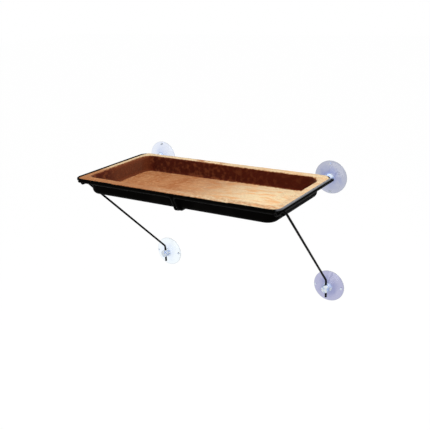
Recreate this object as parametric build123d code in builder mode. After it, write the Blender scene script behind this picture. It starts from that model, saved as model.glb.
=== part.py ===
from build123d import *
import math
import os

os.makedirs("parts", exist_ok=True)

# A cat perch for a window: X along the glass, +Y towards it, +Z up
# The origin lies on the glass, midway between the two upper suction cups

# Suction cups
cup_radius = 38.0
cup_upper_z = 0.0
cup_lower_z = -267.0
cup_rim_thickness = 1.0
cup_seal_width = 4.0
cup_void_depth = 2.4
cup_void_share = 0.55
cup_void_bend_share = 0.6
cup_shoulder_inset = 8.0
cup_shoulder_depth = 4.2
cup_collar_width = 6.0
cup_collar_depth = 8.0
cup_head_radius = 9.0
cup_head_tip = 27.0
cup_neck_depth = 11.0
cup_head_rounding = 2.5
cup_tab_radius = 2.6
cup_tab_inset = 5.7
cup_tab_tip = 6.5
cup_tab_rounding = 1.2
hole_axis_depth = 18.0

# Angles
quarter_circle = 90
half_circle = 180

# Wire
wire_diameter = 5.0
wire_radius = wire_diameter / 2
hole_clearance = 0.05
seat_gap = 0.3

# Tray
rim_length = 522.0
rim_width = 258.0
rim_rear_y = -45.0
rim_corner_radius = 21.0
rim_top_z = 16.4
bead_height = 3.2
bead_width = 2.6
bead_outer_rounding = 2.0
bead_inner_rounding = 0.5
shell = 1.6
side_flange = 20.3
front_flange = 20.2
rear_flange = 15.3
tray_bottom_z = -24.5
wall_draft = 4.0
basin_corner_radius = 27.0
basin_bottom_radius = 12.0
mouth_radius = 3.6

# Liner
liner_thickness = 2.4
liner_edge_gap = 0.4
liner_edge_rounding = 1.3

# Half frames, measured from the tray's rim and floor
rail_inset = 12.3
cup_step = 13.7
pin_stub = 2.0
dip_inset = 13.0
front_wire_inset = 3.0
rear_wire_inset = 3.0
member_left_x = 11.0
member_right_x = 16.5
member_front_foot_inset = 16.0
member_front_run_inset = 29.0
member_tuck = 1.4
member_rear_run_inset = 25.0
member_rear_foot_inset = 13.0
member_foot_rise = 2.0
pin_bend = 3.8
corner_bend = 4.2
turn_down_bend = 8.0
foot_bend = 6.0
run_bend = 8.0

# Struts
hook_inset = 37.0
elbow_rise = 21.0
elbow_bend = 8.0
eye_radius = 8.2
eye_offset = 2.3
eye_sweep = 288.0
tail_drop = 22.5

# Centre clips
clip_front_inset = 63.0
clip_rear_inset = 65.0
clip_length = 14.0
clip_side_wall = 2.4
clip_floor = 2.6
clip_lip_height = 1.0
clip_rounding = 0.8

# Derived tray values
flange_top_z = rim_top_z - bead_height
flange_under_z = flange_top_z - shell
rim_centre_y = rim_rear_y - rim_width / 2
rim_front_y = rim_rear_y - rim_width
basin_length = rim_length - 2 * side_flange
basin_width = rim_width - front_flange - rear_flange
basin_centre_y = (rim_front_y + front_flange + rim_rear_y - rear_flange) / 2
draft_slope = math.tan(math.radians(wall_draft))
draft_stretch = 1 / math.cos(math.radians(wall_draft))

# Derived liner values, each surface a parallel of the tray's inner surface
liner_under_z = flange_top_z + seat_gap
liner_top_z = liner_under_z + liner_thickness
liner_edge = bead_width + liner_edge_gap

# Derived cup values, the last one where the head's rounding passes between its two ends
cup_seal_inner_radius = cup_radius - cup_seal_width
cup_shoulder_radius = cup_radius - cup_shoulder_inset
cup_collar_radius = cup_head_radius + cup_collar_width
cup_tab_reach = cup_radius - cup_tab_inset
rounding_middle = cup_head_rounding * (1 - math.sqrt(1 / 2))

# Derived places of the wires, cups and clips
rail_x = rim_length / 2 - rail_inset
cup_column_x = rail_x - cup_step
pin_tip_x = cup_column_x - cup_head_radius - pin_stub
dip_front_y = rim_front_y + dip_inset
front_wire_y = rim_front_y + front_wire_inset
rear_wire_y = rim_rear_y - rear_wire_inset
member_front_foot_y = rim_front_y + member_front_foot_inset
member_front_run_y = rim_front_y + member_front_run_inset
member_rear_run_y = rim_rear_y - member_rear_run_inset
member_rear_foot_y = rim_rear_y - member_rear_foot_inset
member_foot_z = tray_bottom_z + member_foot_rise
hook_y = rim_front_y + hook_inset
elbow_z = cup_lower_z + elbow_rise
tail_tip_z = cup_lower_z - tail_drop
clip_front_y = rim_front_y + clip_front_inset
clip_rear_y = rim_rear_y - clip_rear_inset

# Derived wire values
lip_wire_z = flange_under_z - seat_gap - wire_radius
under_wire_z = tray_bottom_z - seat_gap - wire_radius
hole_radius = wire_radius + hole_clearance


def basin_growth(z):
    """Return how much wider the basin's outline is at height z than under the flange, per side."""
    return (z - flange_under_z) * draft_slope


def basin_outline(z, inset, corner):
    """Draw the basin's outline at height z, moved inwards by a wall thickness measured square to it."""
    step = basin_growth(z) - inset * draft_stretch
    with Locations((0, basin_centre_y)):
        RectangleRounded(basin_length + 2 * step, basin_width + 2 * step, corner)


def rim_outline(inset):
    """Draw the rim's outline moved inwards."""
    with Locations((0, rim_centre_y)):
        RectangleRounded(rim_length - 2 * inset, rim_width - 2 * inset, rim_corner_radius - inset)


def bent_wire(corners, bends):
    """Draw a path of straight lengths through the corner points, each inner corner a round bend."""
    points = [Vector(corner) for corner in corners]
    start = points[0]
    for index, bend in enumerate(bends):
        corner = points[index + 1]
        arriving = (corner - points[index]).normalized()
        leaving = (points[index + 2] - corner).normalized()
        half_turn = math.radians(arriving.get_angle(leaving)) / 2
        run_in = corner - arriving * (bend * math.tan(half_turn))
        run_out = corner + leaving * (bend * math.tan(half_turn))
        inward = (leaving - arriving).normalized()
        middle = corner + inward * (bend / math.cos(half_turn) - bend)
        Line(start, run_in)
        ThreePointArc(run_in, middle, run_out)
        start = run_out
    Line(start, points[-1])


def wire_section(path):
    """Return the plane square to a path at its start."""
    return Plane(origin=path @ 0, z_dir=path % 0)


# Suction cup bodies, one profile turned about its axis
def cup_disc(x, z):
    """Revolve the cup's profile about its own axis, its depth running from the glass into the room."""
    with BuildSketch(Plane(origin=(x, 0, z), x_dir=(1, 0, 0), z_dir=(0, 0, -1))) as profile:
        with BuildLine():
            Line((0, cup_void_depth), (0, cup_head_tip))
            Line((0, cup_head_tip), (cup_head_radius - cup_head_rounding, cup_head_tip))
            ThreePointArc(
                (cup_head_radius - cup_head_rounding, cup_head_tip),
                (cup_head_radius - rounding_middle, cup_head_tip - rounding_middle),
                (cup_head_radius, cup_head_tip - cup_head_rounding),
            )
            Line((cup_head_radius, cup_head_tip - cup_head_rounding), (cup_head_radius, cup_neck_depth))
            Spline(
                (cup_head_radius, cup_neck_depth),
                (cup_collar_radius, cup_collar_depth),
                (cup_shoulder_radius, cup_shoulder_depth),
                (cup_radius, cup_rim_thickness),
            )
            Line((cup_radius, cup_rim_thickness), (cup_radius, 0))
            Line((cup_radius, 0), (cup_seal_inner_radius, 0))
            Spline(
                (cup_seal_inner_radius, 0),
                (cup_seal_inner_radius * cup_void_share, cup_void_depth * cup_void_bend_share),
                (0, cup_void_depth),
            )
        make_face()
    revolve(profile.sketch, axis=Axis((x, 0, z), (0, 1, 0)))


def cup_tabs(x, z, tab_angle):
    """Add two small pull tabs on opposite sides of the cup's face."""
    for turn in (tab_angle, tab_angle + half_circle):
        tab_x = x + cup_tab_reach * math.cos(math.radians(turn))
        tab_z = z + cup_tab_reach * math.sin(math.radians(turn))
        with BuildSketch(Plane(origin=(tab_x, -cup_rim_thickness, tab_z), z_dir=(0, -1, 0))) as tab:
            Circle(cup_tab_radius)
        extrude(tab.sketch, amount=cup_tab_tip - cup_rim_thickness)
        tip = edges().filter_by(GeomType.CIRCLE).sort_by_distance((tab_x, -cup_tab_tip, tab_z))[0]
        fillet(tip, radius=cup_tab_rounding)


def cross_hole(x, z, turn):
    """Drill the head's cross hole, upright or turned level."""
    with Locations((x, -hole_axis_depth, z)):
        Cylinder(hole_radius, cup_radius, rotation=(0, turn, 0), mode=Mode.SUBTRACT)


# Upper cups, the cross hole level for the half frame's pin
with BuildPart() as cup_upper_left:
    cup_disc(-cup_column_x, cup_upper_z)
    cup_tabs(-cup_column_x, cup_upper_z, quarter_circle)
    cross_hole(-cup_column_x, cup_upper_z, quarter_circle)

with BuildPart() as cup_upper_right:
    cup_disc(cup_column_x, cup_upper_z)
    cup_tabs(cup_column_x, cup_upper_z, quarter_circle)
    cross_hole(cup_column_x, cup_upper_z, quarter_circle)

# Lower cups, the cross hole upright for the strut's tail
with BuildPart() as cup_lower_left:
    cup_disc(-cup_column_x, cup_lower_z)
    cup_tabs(-cup_column_x, cup_lower_z, 0)
    cross_hole(-cup_column_x, cup_lower_z, 0)

with BuildPart() as cup_lower_right:
    cup_disc(cup_column_x, cup_lower_z)
    cup_tabs(cup_column_x, cup_lower_z, 0)
    cross_hole(cup_column_x, cup_lower_z, 0)

# Tray, a drafted basin hung from a flange with a raised bead round its edge
with BuildPart() as tray:
    with BuildSketch(Plane.XY.offset(flange_under_z)):
        rim_outline(0)
    extrude(amount=shell)
    with BuildSketch(Plane.XY.offset(flange_under_z)):
        basin_outline(flange_under_z, 0, basin_corner_radius)
    extrude(amount=tray_bottom_z - flange_under_z, taper=wall_draft)
    flange_underside = tray.faces().filter_by(Axis.Z).sort_by(Axis.Z)[1]
    fillet(flange_underside.inner_wires()[0].edges(), radius=mouth_radius - shell)
    with BuildSketch(Plane.XY.offset(flange_top_z)):
        basin_outline(flange_top_z, shell, basin_corner_radius - shell)
    extrude(amount=tray_bottom_z + shell - flange_top_z, taper=wall_draft, mode=Mode.SUBTRACT)
    tray_floor = tray.faces().filter_by(Axis.Z).sort_by(Axis.Z)[1]
    fillet(tray_floor.edges(), radius=basin_bottom_radius - shell)
    fillet(tray.faces().sort_by(Axis.Z)[0].edges(), radius=basin_bottom_radius)
    tray_flange = tray.faces().filter_by(Axis.Z).sort_by(Axis.Z)[-1]
    fillet(tray_flange.inner_wires()[0].edges(), radius=mouth_radius)
    with BuildSketch(Plane.XY.offset(flange_top_z)):
        rim_outline(0)
        with BuildSketch(Plane.XY.offset(flange_top_z), mode=Mode.PRIVATE) as bead_inside:
            rim_outline(bead_width)
        add(bead_inside.sketch, mode=Mode.SUBTRACT)
    extrude(amount=bead_height)
    bead_top = tray.faces().filter_by(Axis.Z).sort_by(Axis.Z)[-1]
    fillet(bead_top.outer_wire().edges(), radius=bead_outer_rounding)
    bead_top = tray.faces().filter_by(Axis.Z).sort_by(Axis.Z)[-1]
    fillet(bead_top.inner_wires()[0].edges(), radius=bead_inner_rounding)

# Liner, a plush shell that follows the tray's inner surface and its flange
with BuildPart() as liner:
    with BuildSketch(Plane.XY.offset(liner_under_z)):
        rim_outline(liner_edge)
    extrude(amount=liner_thickness)
    outer_inset = shell + seat_gap
    with BuildSketch(Plane.XY.offset(liner_under_z)):
        basin_outline(liner_under_z, outer_inset, basin_corner_radius - outer_inset)
    liner_bottom_z = tray_bottom_z + outer_inset
    extrude(amount=liner_bottom_z - liner_under_z, taper=wall_draft)
    liner_underside = liner.faces().filter_by(Axis.Z).sort_by(Axis.Z)[1]
    fillet(liner_underside.inner_wires()[0].edges(), radius=mouth_radius + seat_gap)
    inner_inset = outer_inset + liner_thickness
    with BuildSketch(Plane.XY.offset(liner_top_z)):
        basin_outline(liner_top_z, inner_inset, basin_corner_radius - inner_inset)
    extrude(
        amount=liner_bottom_z + liner_thickness - liner_top_z,
        taper=wall_draft,
        mode=Mode.SUBTRACT,
    )
    liner_floor = liner.faces().filter_by(Axis.Z).sort_by(Axis.Z)[1]
    fillet(liner_floor.edges(), radius=basin_bottom_radius - inner_inset)
    fillet(liner.faces().sort_by(Axis.Z)[0].edges(), radius=basin_bottom_radius - outer_inset)
    liner_top = liner.faces().filter_by(Axis.Z).sort_by(Axis.Z)[-1]
    fillet(liner_top.inner_wires()[0].edges(), radius=mouth_radius + seat_gap + liner_thickness)
    liner_top = liner.faces().filter_by(Axis.Z).sort_by(Axis.Z)[-1]
    fillet(liner_top.outer_wire().edges(), radius=liner_edge_rounding)


def half_frame_path(side, member_x, tuck):
    """Draw one half frame's wire from the cup pin to the weld near the window."""
    bent_wire(
        (
            (side * pin_tip_x, -hole_axis_depth, 0),
            (side * rail_x, -hole_axis_depth, 0),
            (side * rail_x, dip_front_y, 0),
            (side * rail_x, dip_front_y, lip_wire_z),
            (side * rail_x, front_wire_y, lip_wire_z),
            (member_x, front_wire_y, lip_wire_z),
            (member_x, member_front_foot_y + tuck, member_foot_z + tuck),
            (member_x, member_front_run_y + tuck, under_wire_z),
            (member_x, member_rear_run_y, under_wire_z),
            (member_x, member_rear_foot_y, member_foot_z),
            (member_x, rear_wire_y, lip_wire_z),
            (side * rail_x, rear_wire_y, lip_wire_z),
            (side * rail_x, rear_wire_y, 0),
        ),
        (
            pin_bend,
            corner_bend,
            corner_bend,
            corner_bend,
            turn_down_bend,
            foot_bend,
            run_bend,
            run_bend,
            foot_bend,
            turn_down_bend,
            corner_bend,
        ),
    )


# Half frames, one bent wire each, its rear end welded on its own side rail
with BuildPart() as frame_left:
    with BuildLine() as left_path:
        half_frame_path(-1, member_left_x, 0)
    with BuildSketch(wire_section(left_path.line)):
        Circle(wire_radius)
    sweep(path=left_path.line)

with BuildPart() as frame_right:
    with BuildLine() as right_path:
        half_frame_path(1, member_right_x, member_tuck)
    with BuildSketch(wire_section(right_path.line)):
        Circle(wire_radius)
    sweep(path=right_path.line)


def strut_path(side):
    """Draw one strut from the tail's tip up the leg and round the eye on the side rail."""
    rise = Vector(0, hook_y + hole_axis_depth, -elbow_z)
    leg_length = rise.length
    upward = rise.normalized()
    outward = Vector(side, 0, 0)
    elbow = Vector(side * cup_column_x, -hole_axis_depth, elbow_z)
    eye_reach = rail_x + eye_offset - cup_column_x
    lean = math.atan2(eye_reach, leg_length) + math.asin(eye_radius / math.hypot(eye_reach, leg_length))
    eye_centre = elbow + upward * leg_length + outward * eye_reach

    def on_eye(angle):
        reach = outward * (eye_radius * math.cos(math.radians(angle)))
        return eye_centre + reach + upward * (eye_radius * math.sin(math.radians(angle)))

    eye_start = -math.degrees(lean)
    touch = on_eye(eye_start)
    tail_tip = Vector(side * cup_column_x, -hole_axis_depth, tail_tip_z)
    bent_wire((tail_tip, elbow, touch), (elbow_bend,))
    ThreePointArc(touch, on_eye(eye_start + eye_sweep / 2), on_eye(eye_start + eye_sweep))


# Struts, a wire leg with a tail for the lower cup and an eye round the rail
with BuildPart() as strut_left:
    with BuildLine() as left_leg:
        strut_path(-1)
    with BuildSketch(wire_section(left_leg.line)):
        Circle(wire_radius)
    sweep(path=left_leg.line)

with BuildPart() as strut_right:
    with BuildLine() as right_leg:
        strut_path(1)
    with BuildSketch(wire_section(right_leg.line)):
        Circle(wire_radius)
    sweep(path=right_leg.line)


def centre_clip(y):
    """Build one clip that holds the two centre members side by side from below."""
    clip_x = (member_left_x + member_right_x) / 2
    clip_width = member_right_x - member_left_x + 2 * (hole_radius + clip_side_wall)
    clip_top = under_wire_z + clip_lip_height
    clip_height = clip_lip_height + hole_radius + clip_floor
    with Locations((clip_x, y, clip_top - clip_height / 2)):
        Box(clip_width, clip_length, clip_height)
    fillet(edges().filter_by(Axis.Z), radius=clip_rounding)
    fillet(faces().sort_by(Axis.Z)[0].edges(), radius=clip_rounding)
    with Locations((member_left_x, y, under_wire_z), (member_right_x, y, under_wire_z)):
        Cylinder(hole_radius, 2 * clip_length, rotation=(quarter_circle, 0, 0), mode=Mode.SUBTRACT)


# Centre clips
with BuildPart() as clip_front:
    centre_clip(clip_front_y)

with BuildPart() as clip_rear:
    centre_clip(clip_rear_y)

# Labels and export
pieces = {
    "tray": tray,
    "liner": liner,
    "frame_left": frame_left,
    "frame_right": frame_right,
    "clip_front": clip_front,
    "clip_rear": clip_rear,
    "strut_left": strut_left,
    "strut_right": strut_right,
    "cup_upper_left": cup_upper_left,
    "cup_upper_right": cup_upper_right,
    "cup_lower_left": cup_lower_left,
    "cup_lower_right": cup_lower_right,
}
for label, piece in pieces.items():
    piece.part.label = label
    export_step(piece.part, "parts/" + label + ".step")
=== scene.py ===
"""Dresses the window perch: plush lining, black moulded tray, coated wire and clear suction cups."""

import logging
import math
from dataclasses import astuple, dataclass, replace
from enum import Enum

import bmesh
import bpy
from mathutils import Matrix, Vector, noise


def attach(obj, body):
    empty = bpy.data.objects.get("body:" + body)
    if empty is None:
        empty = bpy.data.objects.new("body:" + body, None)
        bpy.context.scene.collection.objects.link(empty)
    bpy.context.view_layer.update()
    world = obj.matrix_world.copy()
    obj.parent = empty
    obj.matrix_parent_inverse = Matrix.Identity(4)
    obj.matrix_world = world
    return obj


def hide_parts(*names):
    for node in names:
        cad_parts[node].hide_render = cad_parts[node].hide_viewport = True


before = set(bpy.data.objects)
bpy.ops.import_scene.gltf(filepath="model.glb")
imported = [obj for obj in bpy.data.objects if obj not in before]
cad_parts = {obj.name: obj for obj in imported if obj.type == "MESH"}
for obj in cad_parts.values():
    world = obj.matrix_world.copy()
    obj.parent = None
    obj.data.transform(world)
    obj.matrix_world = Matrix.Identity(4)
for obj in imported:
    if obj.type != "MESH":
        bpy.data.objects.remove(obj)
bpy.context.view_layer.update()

log = logging.getLogger("window_perch")

MM = 0.001
Socket = bpy.types.NodeSocket
Node = bpy.types.Node
Colour = tuple[float, float, float]
Place = tuple[float, float, float]
Span = tuple[float, float]
Fall = tuple[float, float]
LEAST_CORNER = 0.4 * MM
CUP_ASIDE = 235.0 * MM
CUP_DROP = 267.0 * MM


class Slot(Enum):
    """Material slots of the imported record."""

    TRAY = "tray_plastic"
    PLUSH = "plush"
    WIRE = "wire_coat"
    CLIP = "clip_plastic"
    CUP = "cup_vinyl"


class Body(Enum):
    """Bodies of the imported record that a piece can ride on."""

    CUPS = "window_cups"
    FRAME = "frame"
    TRAY = "tray_body"
    LINER = "liner_body"


@dataclass(frozen=True)
class Spots:
    """A pattern of soft-edged spots.

    Attributes:
        scale: Lumps per metre.
        detail: Octaves of finer noise.
        low: Level of the noise at which a spot begins.
        high: Level at which it is full.
    """

    scale: float
    detail: float
    low: float
    high: float


class Bench:
    """A node tree and the few calls that fill it."""

    NOISE_MIDDLE = 0.5

    def __init__(self, tree: bpy.types.NodeTree) -> None:
        """Keep the tree and clear what it came with."""
        self.tree = tree
        self.tree.nodes.clear()

    def add(self, kind: str, **settings: object) -> Node:
        """Add a node and set its properties.

        Args:
            kind: The node's type name.
            settings: Properties of the node by name.

        Returns:
            The new node.
        """
        node = self.tree.nodes.new(kind)
        for name, value in settings.items():
            setattr(node, name, value)
        return node

    def link(self, source: Socket, target: Socket) -> None:
        """Join an output to an input."""
        self.tree.links.new(source, target)

    def noise(self, place: Socket, scale: float, detail: float) -> Socket:
        """Add a noise field.

        Args:
            place: The coordinates that the field reads.
            scale: Lumps per metre.
            detail: Octaves of finer noise.

        Returns:
            The field's value, from about 0.25 to 0.75.
        """
        node = self.add("ShaderNodeTexNoise")
        node.inputs["Scale"].default_value = scale
        node.inputs["Detail"].default_value = detail
        self.link(place, node.inputs["Vector"])
        return node.outputs["Fac"]

    def ramp(self, value: Socket, low: float, high: float) -> Socket:
        """Stretch a value, with smooth ends.

        Args:
            value: The value.
            low: What becomes 0.
            high: What becomes 1.

        Returns:
            The stretched value.
        """
        node = self.add("ShaderNodeMapRange", interpolation_type="SMOOTHSTEP")
        node.inputs["From Min"].default_value = low
        node.inputs["From Max"].default_value = high
        self.link(value, node.inputs["Value"])
        return node.outputs["Result"]

    def spots(self, place: Socket, pattern: Spots) -> Socket:
        """Return the mask of a pattern of spots."""
        return self.ramp(self.noise(place, pattern.scale, pattern.detail), pattern.low, pattern.high)

    def bump(self, shader: Node, height: Socket, strength: float, distance: float) -> None:
        """Let a height tilt a shader's surface.

        Args:
            shader: The shader.
            height: The height, about 0 to 1.
            strength: How much of the tilt shows.
            distance: The height in metres that 1 stands for.
        """
        node = self.add("ShaderNodeBump")
        node.inputs["Strength"].default_value = strength
        node.inputs["Distance"].default_value = distance
        self.link(height, node.inputs["Height"])
        self.link(node.outputs["Normal"], shader.inputs["Normal"])

    def mix(self, share: Socket, first: Socket, second: Socket) -> Socket:
        """Mix two shaders.

        Args:
            share: Share of the second.
            first: One of the shaders.
            second: The other.

        Returns:
            The mixed shader.
        """
        node = self.add("ShaderNodeMixShader")
        for source, socket in zip((share, first, second), node.inputs):
            self.link(source, socket)
        return node.outputs["Shader"]

    def math(self, operation: str, first: object, second: object) -> Socket:
        """Do one sum.

        Args:
            operation: Its name.
            first: A number or an output.
            second: Another one.

        Returns:
            The result.
        """
        node = self.add("ShaderNodeMath", operation=operation)
        for socket, value in zip(node.inputs, (first, second)):
            if isinstance(value, Socket):
                self.link(value, socket)
            else:
                socket.default_value = value
        return node.outputs[0]

    def times(self, first: object, *others: object) -> Socket:
        """Multiply values.

        Args:
            first: A number or an output.
            others: More of them.

        Returns:
            The product.
        """
        for other in others:
            first = self.math("MULTIPLY", first, other)
        return first

    def larger(self, first: object, second: object) -> Socket:
        """Return the larger of two values."""
        return self.math("MAXIMUM", first, second)

    def rest(self, value: object) -> Socket:
        """Return what a value leaves of 1."""
        return self.math("SUBTRACT", 1.0, value)

    def blend(self, factor: object, low: object, high: object) -> Socket:
        """Mix two colours.

        Args:
            factor: Share of the second, a number or an output.
            low: The first, written out or an output.
            high: The second.

        Returns:
            The mixed colour.
        """
        node = self.add("ShaderNodeMix", data_type="RGBA")
        for name, value in (("Factor", factor), ("A", low), ("B", high)):
            kind = "VALUE" if name == "Factor" else "RGBA"
            socket = next(s for s in node.inputs if s.name == name and s.type == kind)
            if isinstance(value, Socket):
                self.link(value, socket)
            elif kind == "VALUE":
                socket.default_value = value
            else:
                socket.default_value = (*value, 1.0)
        return next(s for s in node.outputs if s.type == "RGBA")


def new_material(name: str) -> tuple[bpy.types.Material, Bench, Socket]:
    """Start a material.

    Args:
        name: Its name.

    Returns:
        The material, its empty node tree, and the input that takes its surface.
    """
    material = bpy.data.materials.new(name)
    material.use_nodes = True
    bench = Bench(material.node_tree)
    return material, bench, bench.add("ShaderNodeOutputMaterial").inputs["Surface"]


class GrainGroup:
    """Moulding grain and handling marks, shared by the hard black finishes."""

    GRAIN_DETAIL = 2.0
    RUB_DETAIL = 5.0
    RUB_SPAN = (0.5, 0.72)
    _tree: bpy.types.NodeTree | None = None

    @classmethod
    def tree(cls) -> bpy.types.NodeTree:
        """Build the group once and hand it out after that.

        Returns:
            The group's tree.
        """
        if cls._tree is None:
            cls._tree = cls._build()
        return cls._tree

    @classmethod
    def _build(cls) -> bpy.types.NodeTree:
        """Make the group's sockets and nodes.

        Returns:
            A tree that puts out a height for bumps and a mask of rubbed patches.
        """
        tree = bpy.data.node_groups.new("grain_and_rub", "ShaderNodeTree")
        bench = Bench(tree)
        for name, direction in (
            ("Grain Scale", "INPUT"),
            ("Rub Scale", "INPUT"),
            ("Height", "OUTPUT"),
            ("Rub", "OUTPUT"),
        ):
            tree.interface.new_socket(name=name, in_out=direction, socket_type="NodeSocketFloat")
        entry = bench.add("NodeGroupInput")
        leave = bench.add("NodeGroupOutput")
        place = bench.add("ShaderNodeTexCoord").outputs["Object"]
        fields = []
        for scale, detail in (("Grain Scale", cls.GRAIN_DETAIL), ("Rub Scale", cls.RUB_DETAIL)):
            field = bench.add("ShaderNodeTexNoise")
            field.inputs["Detail"].default_value = detail
            bench.link(place, field.inputs["Vector"])
            bench.link(entry.outputs[scale], field.inputs["Scale"])
            fields.append(field.outputs["Fac"])
        grain, rub = fields
        bench.link(grain, leave.inputs["Height"])
        bench.link(bench.ramp(rub, *cls.RUB_SPAN), leave.inputs["Rub"])
        return tree


@dataclass(frozen=True)
class HardFinish:
    """A black finish: moulded plastic or dip-coated wire.

    Attributes:
        name: The material's name.
        base: Colour of the clean surface.
        rubbed: Colour of the rubbed patches.
        roughness: Roughness of the clean surface.
        rub_gloss: How much smoother a rubbed patch is.
        specular: Strength of the plain reflection.
        grain_scale: Bumps per metre.
        rub_scale: Rubbed patches per metre.
        bump: Strength of the bumps.
        bump_height: Height of the bumps.
        highlight_above: Heights between which, going up, the painted highlight begins and is full, if there
            is one.
        highlight_beyond: The same towards the right end.
        highlight_colour: Paler colour of the surface there, a painted highlight.
        highlight_haze: Roughness of the coat of gloss there, which is masked to paint that highlight.
    """

    name: str
    base: Colour
    rubbed: Colour
    roughness: float
    rub_gloss: float
    specular: float
    grain_scale: float
    rub_scale: float
    bump: float
    bump_height: float = 0.3 * MM
    highlight_above: Span | None = None
    highlight_beyond: Span = (252.0 * MM, 256.0 * MM)
    highlight_colour: Colour = (0.075, 0.078, 0.088)
    highlight_haze: float = 0.32

    def build(self) -> bpy.types.Material:
        """Make the material.

        Returns:
            The material, not yet on a piece.
        """
        material, bench, surface = new_material(self.name)
        shader = bench.add("ShaderNodeBsdfPrincipled")
        shader.inputs["Specular IOR Level"].default_value = self.specular
        bench.link(shader.outputs["BSDF"], surface)
        marks = bench.add("ShaderNodeGroup")
        marks.node_tree = GrainGroup.tree()
        marks.inputs["Grain Scale"].default_value = self.grain_scale
        marks.inputs["Rub Scale"].default_value = self.rub_scale
        rub = marks.outputs["Rub"]
        colour = bench.blend(rub, self.base, self.rubbed)
        smoother = bench.times(rub, -self.rub_gloss)
        bench.link(bench.math("ADD", smoother, self.roughness), shader.inputs["Roughness"])
        if self.highlight_above is not None:
            colour = self._paint_highlight(bench, shader, colour)
        bench.link(colour, shader.inputs["Base Color"])
        bench.bump(shader, marks.outputs["Height"], self.bump, self.bump_height)
        return material

    def _paint_highlight(self, bench: Bench, shader: Node, colour: Socket) -> Socket:
        """Paint a highlight on the bead at the right end, as a soft coat of gloss and a paler colour.

        Args:
            bench: The material's nodes.
            shader: The shader that gets the gloss.
            colour: Colour of the surface that isn't handled.

        Returns:
            That colour, paler where the highlight is painted.
        """
        place = bench.add("ShaderNodeSeparateXYZ")
        bench.link(bench.add("ShaderNodeTexCoord").outputs["Object"], place.inputs["Vector"])
        # Painted highlight: gloss and a paler colour only high on the bead and towards the right end, where
        # the window's reflection shows.
        above = bench.ramp(place.outputs["Z"], *self.highlight_above)
        beyond = bench.ramp(place.outputs["X"], *self.highlight_beyond)
        highlight_mask = bench.times(above, beyond)
        bench.link(highlight_mask, shader.inputs["Coat Weight"])
        shader.inputs["Coat Roughness"].default_value = self.highlight_haze
        return bench.blend(highlight_mask, colour, self.highlight_colour)


@dataclass(frozen=True)
class VinylFinish:
    """Clear soft vinyl of one suction cup, thin in the disc and milky in the thick head, with painted glints
    in the head and on the pull tabs and a painted dark line at its edge.

    Attributes:
        name: The material's name.
        centre: Where the cup's axis meets the glass.
        core: Colour of the disc round the head.
        rim: Colour of the disc's thin outer ring.
        edge: Colour of the painted dark line where the disc ends, which stands for the light bent at its
            clear edge.
        milk: Colour of the head.
        gleam: Colour of the painted blue glints in the head.
        tint_span: Distances from the axis between which the disc turns from core to rim.
        edge_span: Distances between which it turns to that painted line's colour.
        streaks: The streaks in the disc.
        streak_reach: How far a streak pushes the rim's colour inwards.
        head_span: Depths between which the disc turns into the head.
        tab_ring: Distances between which the thick, milky part of a pull tab begins, which also paints its
            white glint.
        tab_span: Depths between which it does.
        patches: The painted blue glints in the head.
        disc_haze: Roughness of the clear disc.
        head_haze: Roughness of the milky head.
        bending: The vinyl's refractive index.
    """

    name: str
    centre: Place
    core: Colour
    rim: Colour
    edge: Colour
    milk: Colour = (0.88, 0.95, 1.0)
    gleam: Colour = (0.48, 0.62, 0.99)
    tint_span: Span = (13.0 * MM, 38.0 * MM)
    edge_span: Span = (36.3 * MM, 37.9 * MM)
    streaks: Spots = Spots(45.0, 2.0, 0.35, 0.7)
    streak_reach: float = 11.0 * MM
    head_span: Span = (8.5 * MM, 11.0 * MM)
    tab_ring: Span = (26.0 * MM, 28.0 * MM)
    tab_span: Span = (5.3 * MM, 6.1 * MM)
    patches: Spots = Spots(150.0, 2.0, 0.46, 0.6)
    disc_haze: float = 0.06
    head_haze: float = 0.25
    bending: float = 1.34

    def build(self) -> bpy.types.Material:
        """Make the material.

        Returns:
            The material, not yet on a piece.
        """
        material, bench, surface = new_material(self.name)
        place = bench.add("ShaderNodeTexCoord").outputs["Object"]
        depth, radius = self._measure(bench, place)
        streaks = bench.spots(place, self.streaks)
        spread = bench.math("ADD", radius, bench.times(streaks, self.streak_reach))
        disc_colour = bench.blend(bench.ramp(spread, *self.tint_span), self.core, self.rim)
        # Painted dark line along the disc's edge.
        disc_colour = bench.blend(bench.ramp(radius, *self.edge_span), disc_colour, self.edge)
        # Painted blue glints in the milky head.
        head_colour = bench.blend(bench.spots(place, self.patches), self.milk, self.gleam)
        # The pull tabs take the milky shader: thick vinyl there, and a painted white glint.
        tab = bench.times(bench.ramp(radius, *self.tab_ring), bench.ramp(depth, *self.tab_span))
        thick = bench.larger(bench.ramp(depth, *self.head_span), tab)
        disc = self._shader(bench, disc_colour, 1.0, self.disc_haze)
        head = self._shader(bench, head_colour, 0.0, self.head_haze)
        bench.link(bench.mix(thick, disc, head), surface)
        return material

    def _measure(self, bench: Bench, place: Socket) -> tuple[Socket, Socket]:
        """Measure how far a point is from the glass and from the cup's axis.

        Args:
            bench: The material's nodes.
            place: The point's coordinates.

        Returns:
            The distance from the glass and that from the axis.
        """
        axes = bench.add("ShaderNodeSeparateXYZ")
        bench.link(place, axes.inputs["Vector"])
        flat = bench.add("ShaderNodeCombineXYZ")
        bench.link(axes.outputs["X"], flat.inputs["X"])
        bench.link(axes.outputs["Z"], flat.inputs["Z"])
        span = bench.add("ShaderNodeVectorMath", operation="DISTANCE")
        bench.link(flat.outputs["Vector"], span.inputs[0])
        span.inputs[1].default_value = self.centre
        return bench.times(axes.outputs["Y"], -1.0), span.outputs["Value"]

    def _shader(self, bench: Bench, colour: Socket, clear: float, haze: float) -> Socket:
        """Add a vinyl shader.

        Args:
            bench: The material's nodes.
            colour: The vinyl's colour.
            clear: Share of the light that it lets through.
            haze: Its roughness.

        Returns:
            What the shader puts out.
        """
        shader = bench.add("ShaderNodeBsdfPrincipled")
        shader.inputs["Transmission Weight"].default_value = clear
        shader.inputs["IOR"].default_value = self.bending
        shader.inputs["Roughness"].default_value = haze
        bench.link(colour, shader.inputs["Base Color"])
        return shader.outputs["BSDF"]


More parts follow.
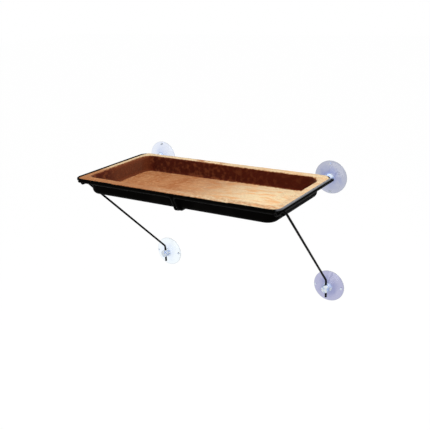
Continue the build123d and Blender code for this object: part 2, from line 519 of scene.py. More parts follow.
@dataclass(frozen=True)
class Zones:
    """Masks that say where on the lining a point lies.

    Attributes:
        upright: On the walls.
        crest: Where the pile is brushed up over an edge.
        sunlight: Towards the right end, where sunlight is painted.
        sun: Towards the window, where sun patches are painted.
        at_left: At the left end.
        high_rim: High up, on the rim.
        front: Towards the room.
        brushed: In the brushed spots.
    """

    upright: Socket
    crest: Socket
    sunlight: Socket
    sun: Socket
    at_left: Socket
    high_rim: Socket
    front: Socket
    brushed: Socket


@dataclass(frozen=True)
class PlushFinish:
    """Short-pile caramel plush, with painted shade on its upright walls and painted sunlight that pales it
    towards its right end.

    Attributes:
        name: The material's name.
        pile: Colour of the standing pile.
        tips: Colour of the brushed tips.
        trodden: Colour of the flattened patches.
        shade: Painted shade of the upright walls, with a little of the darker look of pile seen from its
            side; also used deep between the fibres.
        shade_tips: Colour of the pile's tips on those walls, within that painted shade.
        painted_sunlight: Pale colour that paints the sunlight on the right end's pile.
        painted_sunlight_streak: Colour of the warmer streaks in that painted sunlight.
        roughness: Roughness of the pile.
        specular: Strength of its plain reflection.
        sheen: Colour of the soft gleam that it shows from the side.
        sheen_weight: Strength of that gleam.
        sheen_haze: Roughness of that gleam.
        sunlight_span: Where along the window the painted sunlight begins and is full.
        sun_span: Where towards the window the painted sun patches begin and are full.
        left_span: Where towards the left end those painted sun patches begin to run together and have done
            so.
        high_rim_span: The heights at which the darkening of the rim begins and is full.
        front_span: Where towards the room the patches of painted shade on the rim begin and are full.
        patches: The standing pile between the flattened patches.
        brushing: The brushed spots.
        streaking: The streaks in the painted sunlight.
        tufting: The tufts on the crest.
        sun_patches: The patches of painted sunlight on the rim.
        front_shade_spots: The patches of painted shade on the front rim.
        stretch: How much the streaks are drawn out along the window, as a scale.
        brushed_share: How much of the tips' colour a brushed spot shows.
        crest_share: How much of it the crest shows.
        tuft_share: How much a tuft shows.
        wall_sunlight_cut: How much of the brushed spots on the walls the painted sunlight takes away.
        wall_sun: How much the painted sunlight lifts the left wall's colour.
        sun_patch_cut: How much of the painted sun patches the painted sunlight takes away.
        rim_darkening: How much the rim is darkened.
        front_shade_share: How much a patch of painted shade shows.
        steepness: Power of the turn from floor to the walls' painted shade, and what the painted sunlight
            adds to it.
        pile_turn: Between which parts of that turn the plain pile shows.
        wall_turn: Between which parts of it the walls' painted shade takes over.
        ragging: Tufts per metre that break up the turn's edge, and their detail.
        rag_reach: How far they do.
        fibres: Fibres per metre, and their detail.
        fibre_span: Levels of the fibres between which the painted shade between them shows.
        fibre_shade: How much painted shade lies between them.
        lumps: Lumps of pile per metre, and their detail.
        fibre_height: Height of a fibre as a share of a lump's.
        bump: Strength of the bumps.
        bump_height: Height of the bumps.
    """

    name: str
    pile: Colour
    tips: Colour
    trodden: Colour
    shade: Colour
    shade_tips: Colour
    painted_sunlight: Colour
    painted_sunlight_streak: Colour
    roughness: float = 0.95
    specular: float = 0.1
    sheen: Colour = (1.0, 0.72, 0.46)
    sheen_weight: float = 0.25
    sheen_haze: float = 0.45
    sunlight_span: Span = (-0.10, 0.16)
    sun_span: Span = (-0.226, -0.178)
    left_span: Span = (-0.215, -0.232)
    high_rim_span: Span = (0.010, 0.0145)
    front_span: Span = (-0.270, -0.292)
    patches: Spots = Spots(22.0, 4.0, 0.42, 0.62)
    brushing: Spots = Spots(95.0, 5.0, 0.46, 0.68)
    streaking: Spots = Spots(80.0, 7.0, 0.42, 0.66)
    tufting: Spots = Spots(130.0, 5.0, 0.5, 0.66)
    sun_patches: Spots = Spots(38.0, 3.0, 0.33, 0.46)
    front_shade_spots: Spots = Spots(170.0, 4.0, 0.44, 0.6)
    stretch: float = 0.35
    brushed_share: float = 0.5
    crest_share: float = 0.2
    tuft_share: float = 0.4
    wall_sunlight_cut: float = 0.7
    wall_sun: float = 0.7
    sun_patch_cut: float = 0.5
    rim_darkening: float = 0.2
    front_shade_share: float = 0.55
    steepness: tuple[float, float] = (0.5, 2.5)
    pile_turn: Span = (0.0, 0.35)
    wall_turn: Span = (0.1, 0.75)
    ragging: tuple[float, float] = (300.0, 4.0)
    rag_reach: float = 6.0
    fibres: tuple[float, float] = (900.0, 2.0)
    fibre_span: Span = (0.35, 0.6)
    fibre_shade: float = 0.4
    lumps: tuple[float, float] = (260.0, 3.0)
    fibre_height: float = 0.4
    bump: float = 0.6
    bump_height: float = 1.2 * MM

    def build(self) -> bpy.types.Material:
        """Make the material.

        Returns:
            The material, not yet on a piece.
        """
        material, bench, surface = new_material(self.name)
        shader = bench.add("ShaderNodeBsdfPrincipled")
        shader.inputs["Roughness"].default_value = self.roughness
        shader.inputs["Specular IOR Level"].default_value = self.specular
        shader.inputs["Sheen Weight"].default_value = self.sheen_weight
        shader.inputs["Sheen Roughness"].default_value = self.sheen_haze
        shader.inputs["Sheen Tint"].default_value = (*self.sheen, 1.0)
        bench.link(shader.outputs["BSDF"], surface)
        place = bench.add("ShaderNodeTexCoord").outputs["Object"]
        fibres = bench.noise(place, *self.fibres)
        colour = self._colour(bench, place)
        # Painted shade deep between the fibres.
        dark = bench.blend(self.fibre_shade, colour, self.shade)
        colour = bench.blend(bench.ramp(fibres, *self.fibre_span), dark, colour)
        bench.link(colour, shader.inputs["Base Color"])
        lumps = bench.noise(place, *self.lumps)
        height = bench.math("ADD", lumps, bench.times(fibres, self.fibre_height))
        bench.bump(shader, height, self.bump, self.bump_height)
        return material

    def _colour(self, bench: Bench, place: Socket) -> Socket:
        """Mix the pile's colour all over the lining, before its fibres are told apart.

        Args:
            bench: The material's nodes.
            place: The coordinates that the patterns read.

        Returns:
            The colour.
        """
        zones = self._zones(bench, place)
        colour = self._rim(bench, place, zones, self._flat(bench, place, zones))
        # The turn from floor to wall brings in the walls' painted shade; it is sharper where painted sunlight
        # lies.
        plain, added = self.steepness
        steepness = bench.math("ADD", bench.times(zones.sunlight, added), plain)
        turned = bench.math("POWER", self._ragged(bench, place, zones.upright), steepness)
        colour = bench.blend(bench.ramp(turned, *self.pile_turn), colour, self.pile)
        return bench.blend(bench.ramp(turned, *self.wall_turn), colour, self._wall(bench, zones))

    def _zones(self, bench: Bench, place: Socket) -> Zones:
        """Work out where on the lining a point lies.

        Args:
            bench: The material's nodes.
            place: The point's coordinates.

        Returns:
            The masks.
        """
        along = bench.add("ShaderNodeSeparateXYZ")
        bench.link(place, along.inputs["Vector"])
        x, y, z = (along.outputs[axis] for axis in "XYZ")
        return Zones(
            upright=bench.add("ShaderNodeAttribute", attribute_name="upright").outputs["Fac"],
            crest=bench.add("ShaderNodeAttribute", attribute_name="crest").outputs["Fac"],
            sunlight=bench.ramp(x, *self.sunlight_span),
            sun=bench.ramp(y, *self.sun_span),
            at_left=bench.ramp(x, *self.left_span),
            high_rim=bench.ramp(z, *self.high_rim_span),
            front=bench.ramp(y, *self.front_span),
            brushed=bench.spots(place, self.brushing),
        )

    def _flat(self, bench: Bench, place: Socket, zones: Zones) -> Socket:
        """Mix the colour of the lying cloth: trodden, brushed, and pale with painted sunlight towards the
        right end.

        Args:
            bench: The material's nodes.
            place: The coordinates that the patterns read.
            zones: Where on the lining a point lies.

        Returns:
            The colour.
        """
        brushed = bench.times(zones.brushed, self.brushed_share)
        brushed = bench.larger(brushed, bench.times(zones.crest, self.crest_share))
        plain = bench.blend(bench.spots(place, self.patches), self.trodden, self.pile)
        # Painted sunlight: pale, streaked colour towards the right end.
        streaks = bench.spots(self._stretched(bench, place), self.streaking)
        pale = bench.blend(streaks, self.painted_sunlight, self.painted_sunlight_streak)
        return bench.blend(zones.sunlight, bench.blend(brushed, plain, self.tips), pale)

    def _rim(self, bench: Bench, place: Socket, zones: Zones, colour: Socket) -> Socket:
        """Add what shows on the rim: tufts, patches of painted sunlight, a darker tone high up and patches of
        painted shade at the front.

        Args:
            bench: The material's nodes.
            place: The coordinates that the patterns read.
            zones: Where on the lining a point lies.
            colour: The cloth's colour without them.

        Returns:
            The colour with them.
        """
        tufts = bench.times(zones.crest, bench.spots(place, self.tufting), self.tuft_share)
        colour = bench.blend(tufts, colour, self.pile)
        # Patches of painted sunlight on the rim towards the window, run together at the left end.
        raised = bench.larger(zones.crest, zones.high_rim)
        spots = bench.larger(bench.spots(place, self.sun_patches), zones.at_left)
        kept = bench.rest(bench.times(zones.sunlight, self.sun_patch_cut))
        colour = bench.blend(bench.times(raised, zones.sun, spots, kept), colour, self.painted_sunlight)
        # High up, the rim is darkened towards the tip colour of the walls.
        colour = bench.blend(bench.times(zones.high_rim, self.rim_darkening), colour, self.shade_tips)
        # Painted shade: darker patches in the trodden colour on the front rim.
        rubbed = bench.times(zones.high_rim, zones.front, bench.spots(place, self.front_shade_spots), self.front_shade_share)
        return bench.blend(rubbed, colour, self.trodden)

    def _wall(self, bench: Bench, zones: Zones) -> Socket:
        """Mix the painted shade of the upright walls, lifted by brushed spots and, at the left end, by
        painted sunlight.

        Args:
            bench: The material's nodes.
            zones: Where on the lining a point lies.

        Returns:
            The colour.
        """
        kept = bench.rest(bench.times(zones.sunlight, self.wall_sunlight_cut))
        # Painted sunlight lifts the left wall's colour towards the window.
        lifted = bench.times(zones.sun, zones.at_left, self.wall_sun)
        lifted = bench.larger(bench.times(zones.brushed, kept), lifted)
        return bench.blend(lifted, self.shade, self.shade_tips)

    def _ragged(self, bench: Bench, place: Socket, upright: Socket) -> Socket:
        """Break up the edge of the upright pile by its tufts.

        Args:
            bench: The material's nodes.
            place: The coordinates that the patterns read.
            upright: The mask of the upright pile.

        Returns:
            The mask with a ragged edge.
        """
        between = bench.times(upright, bench.rest(upright))
        tufts = bench.math("SUBTRACT", bench.noise(place, *self.ragging), bench.NOISE_MIDDLE)
        shift = bench.times(between, tufts, self.rag_reach)
        return bench.larger(bench.math("ADD", upright, shift), 0.0)

    def _stretched(self, bench: Bench, place: Socket) -> Socket:
        """Draw a pattern out along the window.

        Args:
            bench: The material's nodes.
            place: The coordinates that it would read.

        Returns:
            The coordinates in which it is drawn out.
        """
        mapping = bench.add("ShaderNodeMapping")
        mapping.inputs["Scale"].default_value = (self.stretch, 1.0, 1.0)
        bench.link(place, mapping.inputs["Vector"])
        return mapping.outputs["Vector"]


@dataclass(frozen=True)
class Ring:
    """One level outline of the lining: a rounded rectangle at a height.

    Attributes:
        half: Distance of its right end from the middle.
        front: Its edge on the room side.
        rear: Its edge on the window side.
        corner: Radius of its corners.
        height: Its height at the right end.
        upright: How far the pile there is seen from its side, 0 to 1.
        crest: How far the pile there is brushed up over an edge, 0 to 1.
        front_lift: How much higher it lies along the middle of the front.
        front_reach: How far it reaches out over the bead there.
        front_even: Share of the front's lift that doesn't fade towards its ends.
        rear_lift: How much higher it lies along the rear.
        cover: Share of the full thickness that the cloth has there.
        left_out: How much further out its left end lies.
        left_lift: How much higher it lies there.
    """

    half: float
    front: float
    rear: float
    corner: float
    height: float
    upright: float = 0.0
    crest: float = 0.0
    front_lift: float = 0.0
    front_reach: float = 0.0
    front_even: float = 0.0
    rear_lift: float = 0.0
    cover: float = 1.0
    left_out: float = 0.0
    left_lift: float = 0.0

    def inset(self, distance: float, height: float, upright: float, crest: float) -> "Ring":
        """Move the outline inwards.

        Args:
            distance: How far.
            height: The new height.
            upright: How far the pile there is seen from its side.
            crest: How far it is brushed up.

        Returns:
            The moved outline.
        """
        return replace(
            self,
            half=self.half - distance,
            front=self.front + distance,
            rear=self.rear - distance,
            corner=max(self.corner - distance, LEAST_CORNER),
            height=height,
            upright=upright,
            crest=crest,
        )

    def towards(self, other: "Ring", share: float) -> "Ring":
        """Return the outline that lies a share of the way to another one."""
        return Ring(*(a + (b - a) * share for a, b in zip(astuple(self), astuple(other))))

    def point(self, station: int, plan: "StationPlan") -> Vector:
        """Return one numbered point of the outline.

        Args:
            station: The point's number, counted round from the front right corner.
            plan: How the numbers are shared among sides and corners.

        Returns:
            The point's place.
        """
        side, share, is_corner = plan.locate(station)
        reach = self.corner
        left = -self.half - self.left_out + reach
        centres = (
            (self.half - reach, self.front + reach, -0.5 * math.pi),
            (self.half - reach, self.rear - reach, 0.0),
            (left, self.rear - reach, 0.5 * math.pi),
            (left, self.front + reach, math.pi),
        )
        x, y, start = centres[side]
        out = start + (share if is_corner else 1.0) * 0.5 * math.pi
        if not is_corner:
            next_x, next_y, _ = centres[(side + 1) % len(centres)]
            x += (next_x - x) * share
            y += (next_y - y) * share
        facing = math.sin(out)
        x += reach * math.cos(out)
        y += reach * facing
        height = self.height + self.left_lift * min(0.0, math.cos(out)) ** 2
        if facing > 0.0:
            return Vector((x, y, height + self.rear_lift * facing * facing))
        swell = plan.swell(abs(x) / self.half)
        lift = self.front_lift * (swell + (1.0 - swell) * self.front_even)
        return Vector((x, y - self.front_reach * swell * facing * facing, height + lift * facing * facing))


@dataclass(frozen=True)
class StationPlan:
    """How many points each corner and side of a ring has."""

    corner: int = 9
    short: int = 80
    long: int = 178
    swell_ends: tuple[float, float] = (0.45, 0.86)

    @property
    def total(self) -> int:
        """Return the number of points in a ring."""
        return 2 * (2 * self.corner + self.short + self.long)

    def swell(self, share: float) -> float:
        """Say how far the front edge swells.

        Args:
            share: Share of the way from its middle to its end.

        Returns:
            The swelling, 1 at the middle and 0 at the end.
        """
        near, far = self.swell_ends
        fade = min(1.0, max(0.0, (far - share) / (far - near)))
        return fade * fade * (3.0 - 2.0 * fade)

    def locate(self, station: int) -> tuple[int, float, bool]:
        """Find a numbered point.

        Args:
            station: Its number.

        Returns:
            The side's number, the share along it, and whether it is its corner.
        """
        for side in range(4):
            if station < self.corner:
                return side, station / self.corner, True
            station -= self.corner
            length = self.short if side % 2 == 0 else self.long
            if station < length:
                return side, station / length, False
            station -= length
        raise ValueError("station outside the ring")


@dataclass
class PlushLining:
    """The loose plush lining that fills the tray and covers its flange.

    Attributes:
        half: Half its length along the window.
        front: Its edge on the room side.
        rear: Its edge on the window side.
        corner: Radius of its outer corners.
        wall_half: Distance of the right end wall's top line from the middle.
        wall_slip: How much nearer to the middle the left one lies.
        wall_front: The front wall's top line.
        wall_rear: The rear wall's top line.
        wall_corner: Corner radius of the hollow at its top.
        corner_spread: How much rounder those corners are at the floor.
        top: Height of the pile on the flange.
        right_drop: How much lower the pile lies on the flange at the right end.
        left_drop: How much lower it lies at the left end.
        edge_drop: How far the pile falls from there to its edge behind the bead.
        rear_puff: How far it swells over that edge along the rear.
        floor: Height of the pile on the floor.
        lean: Lean of the walls.
        mouth: Radius of the roll from the flange into the front and rear walls.
        right_mouth: Radius of the slacker roll into the right end wall.
        left_mouth: Radius of the roll into the left one.
        toe: Radius of the roll from the wall into the floor.
        thickness: Thickness of the plush.
        roll_cover: Share of it that is left on the rolls and down the walls.
        step: Distance between rings.
        middle_gap: Half the width of the slit that closes the floor's middle.
        flange_steps: Where the rings across the flange lie, as shares of its width.
        mouth_bends: Number of steps in the roll from flange to wall.
        toe_bends: Number of steps in the roll from wall to floor.
        crest_fade: How fast the brushed-up pile ends down that first roll.
        upright_rise: Power with which the pile there turns its side.
        upright_fall: Power with which it turns back in the second roll.
        waves: Frequency, shift and height of the cloth's broad lumps and of its dents.
        tuft_wave: Frequency and height of the uneven tips.
        crest_calm: How much of all that the stretched crest takes away.
        plan: How the points of a ring are shared out.
    """

    half: float = 257.9 * MM
    front: float = -299.9 * MM
    rear: float = -48.1 * MM
    corner: float = 18.0 * MM
    wall_half: float = 237.0 * MM
    wall_slip: float = 1.2 * MM
    wall_front: float = -278.2 * MM
    wall_rear: float = -64.9 * MM
    wall_corner: float = 23.0 * MM
    corner_spread: float = 5.0 * MM
    top: float = 16.5 * MM
    right_drop: float = 1.8 * MM
    left_drop: float = 1.1 * MM
    edge_drop: float = 2.4 * MM
    rear_puff: float = 1.4 * MM
    floor: float = -20.0 * MM
    lean: float = math.radians(4.0)
    mouth: float = 3.4 * MM
    right_mouth: float = 9.4 * MM
    left_mouth: float = 8.0 * MM
    toe: float = 6.0 * MM
    thickness: float = 2.0 * MM
    roll_cover: float = 0.45
    step: float = 2.7 * MM
    middle_gap: float = 1.2 * MM
    flange_steps: tuple[float, ...] = (0.25, 0.5, 0.75)
    mouth_bends: int = 10
    toe_bends: int = 6
    crest_fade: float = 1.6
    upright_rise: float = 0.9
    upright_fall: int = 3
    waves: tuple[tuple[float, float, float], ...] = ((28.0, 0.0, 0.55), (85.0, 7.0, 0.4))
    tuft_wave: tuple[float, float] = (330.0, 0.35)
    crest_calm: float = 0.55
    plan: StationPlan = StationPlan()

    def rings(self) -> list[Ring]:
        """List the outlines over the whole cloth.

        Returns:
            The outlines from the lower outer edge over the flange and down to the middle of the floor.
        """
        rings = self._edge()
        rings += self._mouth(rings[-1]) + self._walls() + self._toe()
        reach = rings[-1]
        depth = 0.5 * (reach.rear - reach.front) - self.middle_gap
        floors = round(depth / self.step)
        rings += [reach.inset(depth * index / floors, self.floor, 0.0, 0.0) for index in range(1, floors + 1)]
        return rings

    @property
    def _line(self) -> Ring:
        """Return the outline of the walls' top lines."""
        line = Ring(self.wall_half, self.wall_front, self.wall_rear, self.wall_corner, self.top)
        return replace(line, left_out=-self.wall_slip)

    @property
    def _rolls(self) -> tuple[Fall, ...]:
        """List the rolls from the flange into the walls.

        Returns:
            The radius and the top height of the right, the left and the long sides' rolls.
        """
        return (
            (self.right_mouth, self.top - self.right_drop),
            (self.left_mouth, self.top - self.left_drop),
            (self.mouth, self.top),
        )

    @property
    def _turn(self) -> float:
        """Return the angle through which a roll turns."""
        return 0.5 * math.pi - self.lean

    def _reach(self, roll: float) -> float:
        """Return how far outside the wall's top line a roll begins."""
        return roll * math.tan(0.5 * self._turn)

    def _falls(self, angle: float) -> list[Fall]:
        """Follow the rolls through an angle of their turn.

        Args:
            angle: The angle.

        Returns:
            How far inside the wall's top line each roll lies there, and how high.
        """
        return [
            (roll * math.sin(angle) - self._reach(roll), high - roll * (1 - math.cos(angle)))
            for roll, high in self._rolls
        ]

    def _mouth(self, edge: Ring) -> list[Ring]:
        """List the outlines across the flange and down the roll into the walls.

        Args:
            edge: The inmost outline of the edge.

        Returns:
            The outlines that follow it.
        """
        start = self._sides(self._line, *((-self._reach(roll), high) for roll, high in self._rolls))
        start = replace(start, crest=1.0, cover=self.roll_cover)
        rings = [edge.towards(start, share) for share in self.flange_steps]
        for index in range(self.mouth_bends + 1):
            fade = index / self.mouth_bends
            ring = self._sides(self._line, *self._falls(self._turn * index / self.mouth_bends))
            crest = max(0.0, 1.0 - fade * self.crest_fade)
            rings.append(replace(ring, upright=fade**self.upright_rise, crest=crest, cover=self.roll_cover))
        return rings

    def _walls(self) -> list[Ring]:
        """List the outlines down the walls.

        Returns:
            The outlines, from the top down.
        """
        falls = self._falls(self._turn)
        low = self.floor + self.toe + self.toe * math.sin(self.lean)
        walls = round((falls[-1][1] - low) / self.step)
        slope = math.tan(self.lean)
        rings = []
        for index in range(1, walls):
            heights = [high + (low - high) * index / walls for _, high in falls]
            ring = self._sides(self._line, *(((self.top - height) * slope, height) for height in heights))
            corner = ring.corner + self.corner_spread * index / walls
            rings.append(replace(ring, upright=1.0, corner=corner, cover=self.roll_cover))
        return rings

    def _toe(self) -> list[Ring]:
        """List the outlines of the roll from the walls into the floor.

        Returns:
            The outlines, from the wall to the floor.
        """
        line = replace(self._line, corner=self.wall_corner + self.corner_spread)
        high = self.floor + self.toe
        centre = (self.top - high) * math.tan(self.lean) + self.toe / math.cos(self.lean)
        rings = []
        for index in range(self.toe_bends + 1):
            share = index / self.toe_bends
            angle = self.lean + self._turn * share
            inset = centre - self.toe * math.cos(angle)
            height = high - self.toe * math.sin(angle) + 2 * self.toe * math.sin(self.lean) * (1 - share)
            rings.append(line.inset(inset, height, 1.0 - share**self.upright_fall, 0.0))
        return rings

    @staticmethod
    def _sides(line: Ring, right: Fall, left: Fall, longs: Fall) -> Ring:
        """Return an outline that lies differently at its two ends and along its long sides.

        Args:
            line: The outline that it is measured from.
            right: How far its right end lies inside that outline, and its height.
            left: The same of its left end.
            longs: The same of its front and rear.

        Returns:
            The new outline.
        """
        inset, height = right
        moved = line.inset(longs[0], height, 0.0, 0.0)
        lift = longs[1] - height
        return replace(
            moved,
            half=line.half - inset,
            left_out=line.left_out + inset - left[0],
            left_lift=left[1] - height,
            front_lift=lift,
            front_even=1.0,
            rear_lift=lift,
        )

    def _edge(self) -> list[Ring]:
        """List the edge's outlines, which lie behind the bead, puff up at the rear and lap over at the front.

        Each row holds the inset, height, upright, crest, front lift, front reach, rear lift and cover of one.

        Returns:
            The outlines, from the outer one inwards.
        """
        outer = Ring(self.half, self.front, self.rear, self.corner, self.top)
        low = self.top - self.edge_drop
        profile = (
            (0.0, low - 0.7 * MM, 0.5, 0.3, 2.5 * MM, 2.7 * MM, 0.4 * MM, 0.2),
            (0.1 * MM, low - 0.4 * MM, 0.3, 0.4, 2.8 * MM, 3.1 * MM, 2.3 * MM, 0.3),
            (0.6 * MM, low - 0.2 * MM, 0.1, 0.8, 3.2 * MM, 2.9 * MM, 3.5 * MM, 0.5),
            (1.7 * MM, low - 0.1 * MM, 0.0, 1.0, 3.4 * MM, 2.1 * MM, self.rear_puff + 1.7 * MM, 0.8),
            (4.0 * MM, low + 0.2 * MM, 0.0, 0.9, 2.7 * MM, 0.8 * MM, 2.8 * MM, 1.0),
        )
        return [
            replace(
                outer.inset(inset, height, upright, crest),
                front_lift=front_lift,
                front_reach=front_reach,
                rear_lift=rear_lift,
                cover=cover,
            )
            for inset, height, upright, crest, front_lift, front_reach, rear_lift, cover in profile
        ]

    def build(self, finish: PlushFinish) -> bpy.types.Object:
        """Model the lining and dress it.

        Args:
            finish: The plush.

        Returns:
            The finished piece.
        """
        piece = self._shell()
        self._ruffle(piece)
        self._thicken(piece)
        piece.data.materials.clear()
        piece.data.materials.append(finish.build())
        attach(piece, Body.LINER.value)
        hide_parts("liner")
        return piece

    def _shell(self) -> bpy.types.Object:
        """Extrude one closed outline ring by ring and close its middle.

        Returns:
            The cloth without its thickness.
        """
        rings = self.rings()
        bpy.ops.object.select_all(action="DESELECT")
        bpy.ops.mesh.primitive_circle_add(vertices=self.plan.total, radius=self.half)
        piece = bpy.context.object
        piece.name = piece.data.name = "plush_lining"
        bpy.ops.object.mode_set(mode="EDIT")
        bpy.ops.mesh.select_mode(type="EDGE")
        mesh = bmesh.from_edit_mesh(piece.data)
        station = mesh.verts.layers.int.new("station")
        for name in ("upright", "crest", "cover"):
            mesh.verts.layers.float.new(name)
        for index, vert in enumerate(mesh.verts):
            vert[station] = index
        self._place(mesh, list(mesh.verts), rings[0])
        for ring in rings[1:]:
            bpy.ops.mesh.extrude_edges_move()
            mesh = bmesh.from_edit_mesh(piece.data)
            self._place(mesh, [vert for vert in mesh.verts if vert.select], ring)
            bmesh.update_edit_mesh(piece.data)
        bpy.ops.mesh.edge_face_add()
        bpy.ops.mesh.select_all(action="SELECT")
        bpy.ops.mesh.normals_make_consistent(inside=False)
        bpy.ops.object.mode_set(mode="OBJECT")
        bpy.ops.object.shade_smooth()
        return piece

    def _place(self, mesh: bmesh.types.BMesh, verts: list[bmesh.types.BMVert], ring: Ring) -> None:
        """Set one ring's vertices on its outline.

        Args:
            mesh: The mesh in edit mode.
            verts: The ring's vertices.
            ring: Its outline.
        """
        station = mesh.verts.layers.int["station"]
        upright = mesh.verts.layers.float["upright"]
        crest = mesh.verts.layers.float["crest"]
        cover = mesh.verts.layers.float["cover"]
        for vert in verts:
            vert.co = ring.point(vert[station], self.plan)
            vert[upright] = ring.upright
            vert[crest] = ring.crest
            vert[cover] = ring.cover

    def _ruffle(self, piece: bpy.types.Object) -> None:
        """Give the plush its soft lumps and the uneven tips of its pile.

        Args:
            piece: The cloth.
        """
        mesh = piece.data
        tuft_scale, tuft_height = self.tuft_wave
        moved = []
        for vert, crest in zip(mesh.vertices, mesh.attributes["crest"].data):
            place = vert.co
            loose = 1.0 - self.crest_calm * crest.value
            rise = tuft_height * noise.noise(place * tuft_scale)
            for scale, shift, height in self.waves:
                rise += height * noise.fractal(place * scale + Vector((shift, 0.0, 0.0)), 1.0, 2.0, 2)
            moved.append(place + vert.normal * rise * loose * MM)
        for vert, place in zip(mesh.vertices, moved):
            vert.co = place
        mesh.update()

    def _thicken(self, piece: bpy.types.Object) -> None:
        """Give the cloth its thickness on the side of the tray.

        Args:
            piece: The cloth.
        """
        bpy.context.view_layer.objects.active = piece
        weights = piece.vertex_groups.new(name="cover")
        for vert, share in zip(piece.data.vertices, piece.data.attributes["cover"].data):
            weights.add([vert.index], share.value, "REPLACE")
        solidify = piece.modifiers.new("thickness", "SOLIDIFY")
        solidify.vertex_group = weights.name
        solidify.thickness = self.thickness
        solidify.offset = -1.0
        bpy.ops.object.modifier_apply(modifier=solidify.name)


@dataclass
class HardParts:
    """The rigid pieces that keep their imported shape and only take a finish.

    Attributes:
        tray: Finish of the moulded tray.
        wire: Finish of the half frames and the struts.
        clip: Finish of the centre clips.
    """

    tray: HardFinish
    wire: HardFinish
    clip: HardFinish

    def dress(self) -> None:
        """Put each finish on its pieces."""
        for finish, names in (
            (self.tray, ("tray",)),
            (self.wire, ("frame_left", "frame_right", "strut_left", "strut_right")),
            (self.clip, ("clip_front", "clip_rear")),
        ):
            material = finish.build()
            for name in names:
                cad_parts[name].material_slots[0].material = material
                log.info("%s takes %s", name, finish.name)


@dataclass
class Cups:
    """The suction cups, each tinted by what the glass behind it shows.

    Attributes:
        finishes: Each cup's finish by the name of its piece.
    """

    finishes: dict[str, VinylFinish]

    def dress(self) -> None:
        """Put each finish on its cup."""
        for name, finish in self.finishes.items():
            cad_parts[name].material_slots[0].material = finish.build()
            log.info("%s takes %s", name, finish.name)


@dataclass
class Viewpoint:
    """The camera at the photograph's viewing angle.

    Attributes:
        place: Where it stands.
        yaw: Turn to the left in degrees.
        pitch: Downward tilt in degrees.
        roll: Tilt of the horizon in degrees.
        focal_share: Focal length as a share of the picture's width.
        sensor: Sensor width in millimetres.
        nearest: Distance from which on it sees things.
    """

    place: Place = (0.81485, -1.34685, 0.42079)
    yaw: float = 33.63
    pitch: float = 19.1
    roll: float = -2.35
    focal_share: float = 669.98 / 430.0
    sensor: float = 36.0
    nearest: float = 0.01

    def build(self) -> None:
        """Set the camera up."""
        yaw, pitch, roll = (math.radians(a) for a in (self.yaw, self.pitch, self.roll))
        level = Vector((math.cos(yaw), math.sin(yaw), 0.0))
        ahead = Vector((-math.sin(yaw) * math.cos(pitch), math.cos(yaw) * math.cos(pitch), -math.sin(pitch)))
        upward = level.cross(ahead)
        right = level * math.cos(roll) + upward * math.sin(roll)
        upward = upward * math.cos(roll) - level * math.sin(roll)
        camera = bpy.data.objects.new("camera", bpy.data.cameras.new("camera"))
        bpy.context.scene.collection.objects.link(camera)
        camera.data.sensor_fit = "HORIZONTAL"
        camera.data.sensor_width = self.sensor
        camera.data.lens = self.focal_share * self.sensor
        camera.data.clip_start = self.nearest
        turn = Matrix((right, upward, -ahead)).transposed()
        camera.matrix_world = Matrix.Translation(self.place) @ turn.to_4x4()
        bpy.context.scene.camera = camera


@dataclass(frozen=True)
class Lamp:
    """One square lamp that looks at the tray.

    Attributes:
        name: Its name.
        place: Where it hangs.
        size: Length of its sides.
        power: Its power in watts.
        target: The point that it looks at.
    """

    name: str
    place: Place
    size: float
    power: float
    target: Place = (0.0, -0.17, 0.0)

    def hang(self) -> None:
        """Add the lamp to the scene."""
        lamp = bpy.data.objects.new(self.name, bpy.data.lights.new(self.name, "AREA"))
        bpy.context.scene.collection.objects.link(lamp)
        lamp.data.size = self.size
        lamp.data.energy = self.power
        lamp.rotation_mode = "QUATERNION"
        lamp.rotation_quaternion = (Vector(self.target) - Vector(self.place)).to_track_quat("-Z", "Y")
        lamp.location = self.place


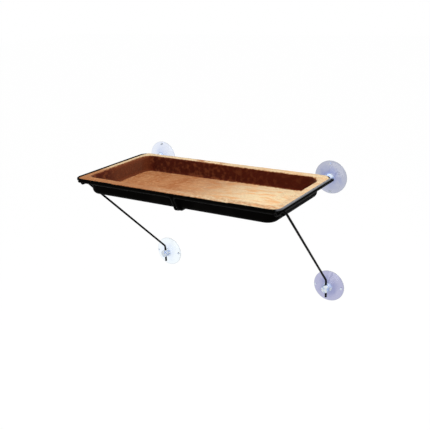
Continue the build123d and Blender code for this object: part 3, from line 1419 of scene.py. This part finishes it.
@dataclass
class Studio:
    """Pale floor, daylight from the window side and a soft fill from the room.

    Attributes:
        floor_height: Height of the floor.
        floor_size: Length of the floor's sides.
        floor_colour: Its colour in the light.
        floor_glow: Strength of the plain white that the camera sees of it.
        glow_share: Share of that white in what the camera sees.
        ambient: Level of the light from all round.
        key: The window-side lamp.
        side: The low lamp beyond the right end.
        fill: The room-side lamp.
    """

    floor_height: float = -0.95
    floor_size: float = 30.0
    floor_colour: Colour = (0.9, 0.9, 0.9)
    floor_glow: float = 1.03
    glow_share: float = 0.95
    ambient: float = 0.36
    key: Lamp = Lamp("key", (0.55, -0.15, 1.85), 0.7, 27.5)
    side: Lamp = Lamp("side", (0.75, 1.15, 0.62), 0.8, 6.0)
    fill: Lamp = Lamp("fill", (0.1, -2.1, 0.3), 1.4, 15.0)

    def build(self) -> None:
        """Make the floor, the lamps and the world."""
        self._floor()
        for lamp in (self.key, self.side, self.fill):
            lamp.hang()
        self._world()
        bpy.context.scene.view_settings.view_transform = "Standard"

    def _floor(self) -> None:
        """Lay the pale floor."""
        bpy.ops.object.select_all(action="DESELECT")
        bpy.ops.mesh.primitive_plane_add(size=self.floor_size, location=(0.0, 0.0, self.floor_height))
        floor = bpy.context.object
        floor.name = "studio_floor"
        material, bench, surface = new_material("pale_floor")
        matte = bench.add("ShaderNodeBsdfDiffuse")
        matte.inputs["Color"].default_value = (*self.floor_colour, 1.0)
        glow = bench.add("ShaderNodeEmission")
        glow.inputs["Strength"].default_value = self.floor_glow
        share = bench.times(self._seen(bench), self.glow_share)
        bench.link(bench.mix(share, matte.outputs["BSDF"], glow.outputs["Emission"]), surface)
        floor.data.materials.append(material)

    @staticmethod
    def _seen(bench: Bench) -> Socket:
        """Tell the rays that the camera, a gloss or a clear piece sees from those that carry light.

        Args:
            bench: The nodes to use.

        Returns:
            1 for a ray that is seen, and 0 for light.
        """
        path = bench.add("ShaderNodeLightPath")
        seen = bench.larger(path.outputs["Is Camera Ray"], path.outputs["Is Glossy Ray"])
        return bench.larger(seen, path.outputs["Is Transmission Ray"])

    def _world(self) -> None:
        """Set the light from all round."""
        world = bpy.data.worlds.new("studio")
        world.use_nodes = True
        bpy.context.scene.world = world
        bench = Bench(world.node_tree)
        output = bench.add("ShaderNodeOutputWorld")
        sky = bench.add("ShaderNodeBackground")
        sky.inputs["Color"].default_value = (1.0, 1.0, 1.0, 1.0)
        extra = bench.times(self._seen(bench), 1.0 - self.ambient)
        bench.link(bench.math("ADD", extra, self.ambient), sky.inputs["Strength"])
        bench.link(sky.outputs["Background"], output.inputs["Surface"])


def main() -> None:
    """Build the perch's looks in order."""
    logging.basicConfig(level=logging.INFO, format="%(message)s")
    plush = PlushFinish(
        name="caramel_plush",
        pile=(0.52, 0.215, 0.08),
        tips=(0.70, 0.37, 0.17),
        trodden=(0.44, 0.15, 0.045),
        # Painted shade of the upright walls.
        shade=(0.064, 0.0052, 0.0006),
        shade_tips=(0.17, 0.042, 0.013),
        # Painted sunlight at the right end.
        painted_sunlight=(0.99, 0.79, 0.49),
        painted_sunlight_streak=(0.97, 0.53, 0.24),
    )
    lining = PlushLining().build(plush)
    log.info("%s has %d faces", lining.name, len(lining.data.polygons))
    HardParts(
        tray=HardFinish(
            name="moulded_black",
            base=(0.0015, 0.0013, 0.0011),
            rubbed=(0.003, 0.0027, 0.0024),
            roughness=0.45,
            rub_gloss=0.08,
            specular=0.006,
            grain_scale=1400.0,
            rub_scale=30.0,
            bump=0.1,
            # Painted highlight on the bead at the right end.
            highlight_above=(12.5 * MM, 13.5 * MM),
        ),
        wire=HardFinish(
            name="dipped_black",
            base=(0.002, 0.002, 0.0017),
            rubbed=(0.004, 0.004, 0.0035),
            roughness=0.4,
            rub_gloss=0.08,
            specular=0.02,
            grain_scale=1000.0,
            rub_scale=60.0,
            bump=0.1,
        ),
        clip=HardFinish(
            name="clip_black",
            base=(0.004, 0.004, 0.004),
            rubbed=(0.007, 0.007, 0.007),
            roughness=0.42,
            rub_gloss=0.1,
            specular=0.06,
            grain_scale=1400.0,
            rub_scale=40.0,
            bump=0.12,
        ),
    ).dress()
    Cups(
        {
            "cup_upper_left": VinylFinish(
                name="vinyl_pale",
                centre=(-CUP_ASIDE, 0.0, 0.0),
                core=(0.62, 0.68, 0.86),
                rim=(0.80, 0.84, 0.94),
                edge=(0.62, 0.66, 0.76),
            ),
            "cup_upper_right": VinylFinish(
                name="vinyl_blue",
                centre=(CUP_ASIDE, 0.0, 0.0),
                core=(0.29, 0.33, 0.56),
                rim=(0.47, 0.49, 0.60),
                edge=(0.44, 0.46, 0.53),
            ),
            "cup_lower_left": VinylFinish(
                name="vinyl_ice",
                centre=(-CUP_ASIDE, 0.0, -CUP_DROP),
                core=(0.80, 0.88, 1.0),
                rim=(0.90, 0.96, 1.0),
                edge=(0.60, 0.66, 0.72),
            ),
            "cup_lower_right": VinylFinish(
                name="vinyl_lilac",
                centre=(CUP_ASIDE, 0.0, -CUP_DROP),
                core=(0.31, 0.33, 0.55),
                rim=(0.455, 0.46, 0.645),
                edge=(0.42, 0.43, 0.53),
            ),
        }
    ).dress()
    Viewpoint().build()
    Studio().build()


if __name__ == "__main__":
    main()
